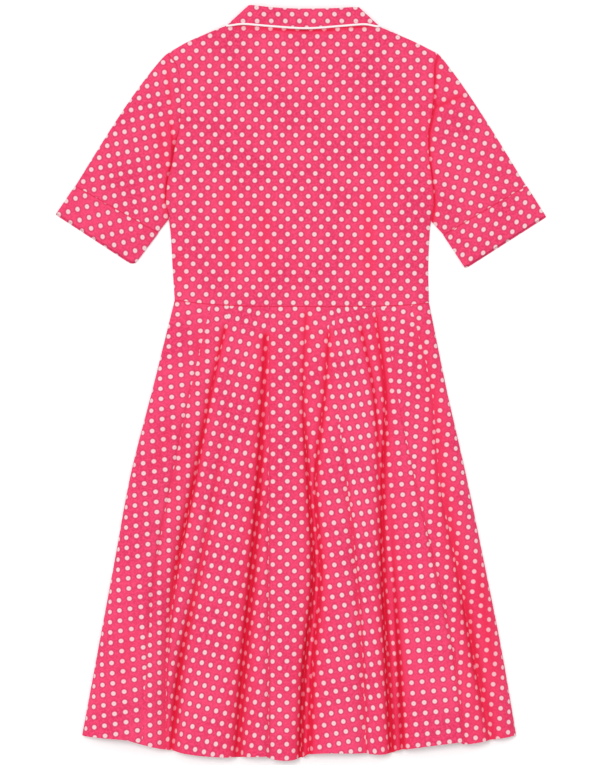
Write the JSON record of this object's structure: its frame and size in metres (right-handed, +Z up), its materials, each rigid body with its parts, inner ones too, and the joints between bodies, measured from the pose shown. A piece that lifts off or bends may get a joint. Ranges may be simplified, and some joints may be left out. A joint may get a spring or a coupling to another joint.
{
  "type": "a-line shirt dress laid flat",
  "caption": "Short-sleeved flared shirt dress in dotted cotton with a piped collar, laid flat on its front with its back uppermost.",
  "frame": {"origin": "on the surface that the dress lies on, under the middle of its outline", "axes": "+Y from the hem towards the collar, +Z up out of the surface to the back of the dress, +X to the wearer's right"},
  "size_m": [0.7225, 1.117, 0.0258],
  "materials": {
    "cotton": "raspberry pink cotton poplin printed with small cream dots",
    "piping": "plain white cotton piping",
    "button": "pale pink shell-look plastic"
  },
  "bodies": {
    "root": {"back_bodice": "cotton", "front_bodice_left": "cotton", "front_bodice_right": "cotton", "sleeve_left": "cotton", "sleeve_right": "cotton", "cuff_left": "cotton", "cuff_right": "cotton", "collar": "cotton", "collar_piping": "piping", "skirt_back": "cotton", "skirt_front": "cotton", "button_1": "button", "button_2": "button", "button_3": "button", "button_4": "button", "button_5": "button"}
  },
  "joints": []
}
